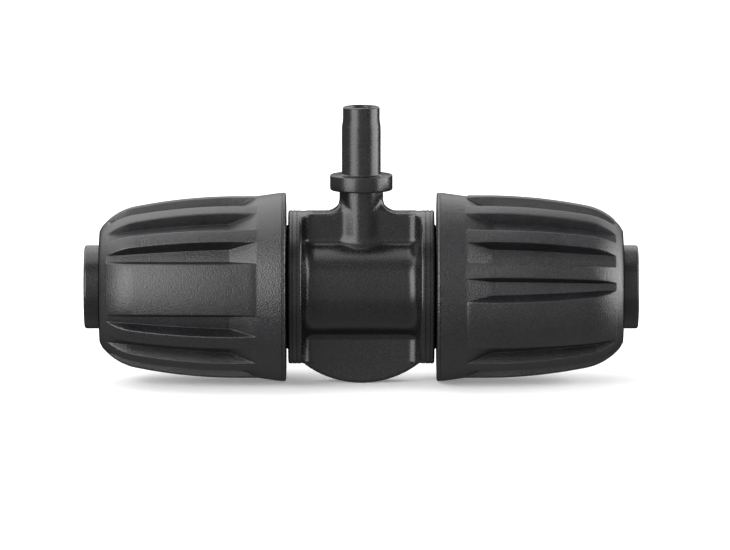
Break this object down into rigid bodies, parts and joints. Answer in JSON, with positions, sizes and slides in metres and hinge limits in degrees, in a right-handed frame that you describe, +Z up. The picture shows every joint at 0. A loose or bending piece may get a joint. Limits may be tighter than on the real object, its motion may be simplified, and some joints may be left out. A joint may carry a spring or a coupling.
{
  "type": "reducing tee fitting",
  "caption": "Straight-run pipe tee with ribbed screw-on lock nuts at both ends of the run and a plain push-on spigot as the smaller upright branch.",
  "frame": {"origin": "on the lowest point of the body's belly, under the middle of the run", "axes": "+X along the run of the tee, +Z up the branch, -Y towards the front"},
  "size_m": [0.0902, 0.0308, 0.0451],
  "materials": {
    "body": "black moulded polypropylene, semi-gloss",
    "nut": "black moulded polypropylene, fine matte grain",
    "ring": "dark grey acetal",
    "seal": "black nitrile rubber"
  },
  "bodies": {
    "body": {"tee_body": "body", "pipe_insert_left": "body", "pipe_insert_right": "body", "packing_bush_left": "ring", "packing_bush_right": "ring", "seal_ring_left": "seal", "seal_ring_right": "seal"},
    "left_ring": {"grip_ring_left": "ring"},
    "right_ring": {"grip_ring_right": "ring"},
    "left_nut": {"lock_nut_left": "nut"},
    "right_nut": {"lock_nut_right": "nut"}
  },
  "joints": [
    {"name": "left_nut_travel", "type": "slide", "parent": "body", "child": "left_ring", "axis": [-1, 0, 0], "range_m": [0, 0.006]},
    {"name": "left_nut_turn", "type": "hinge", "parent": "left_ring", "child": "left_nut", "pos_m": [-0.0274, 0, 0.0155], "axis": [-1, 0, 0], "range_deg": [0, 720]},
    {"name": "right_nut_travel", "type": "slide", "parent": "body", "child": "right_ring", "axis": [1, 0, 0], "range_m": [0, 0.006]},
    {"name": "right_nut_turn", "type": "hinge", "parent": "right_ring", "child": "right_nut", "pos_m": [0.0274, 0, 0.0155], "axis": [1, 0, 0], "range_deg": [0, 720]}
  ],
  "couplings": [
    {"joint": "left_nut_travel", "follows": "left_nut_turn", "m_per_rad": 0.00047746},
    {"joint": "right_nut_travel", "follows": "right_nut_turn", "m_per_rad": 0.00047746}
  ]
}
